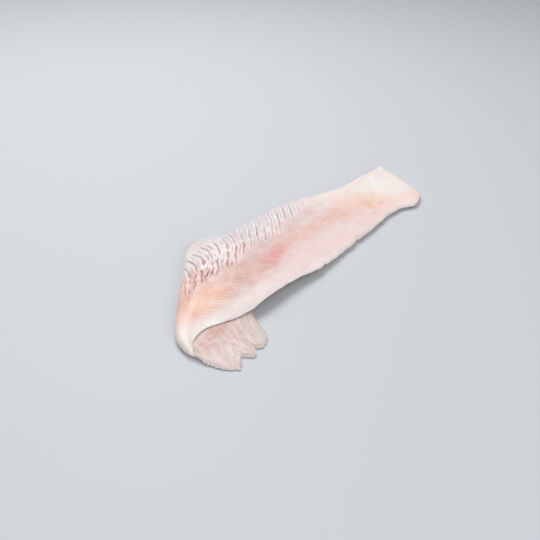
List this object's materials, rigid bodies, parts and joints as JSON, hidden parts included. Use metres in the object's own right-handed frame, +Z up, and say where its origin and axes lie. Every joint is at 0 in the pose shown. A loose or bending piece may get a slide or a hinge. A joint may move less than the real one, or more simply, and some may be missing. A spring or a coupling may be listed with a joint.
{
  "type": "whiting fillet",
  "caption": "Raw skinned whiting fillet laid skin side up, its head end folded under and showing as a thin ragged flap.",
  "frame": {"origin": "on the surface that the fillet lies on, under the middle of its bounding box", "axes": "+X along the fillet towards the cut tail end, +Y towards the thick back edge, +Z up"},
  "size_m": [0.2613, 0.1097, 0.0162],
  "materials": {
    "raw_flesh": "moist, faintly glossy, translucent raw flesh"
  },
  "bodies": {
    "root": {"fillet": "raw_flesh"}
  },
  "joints": []
}
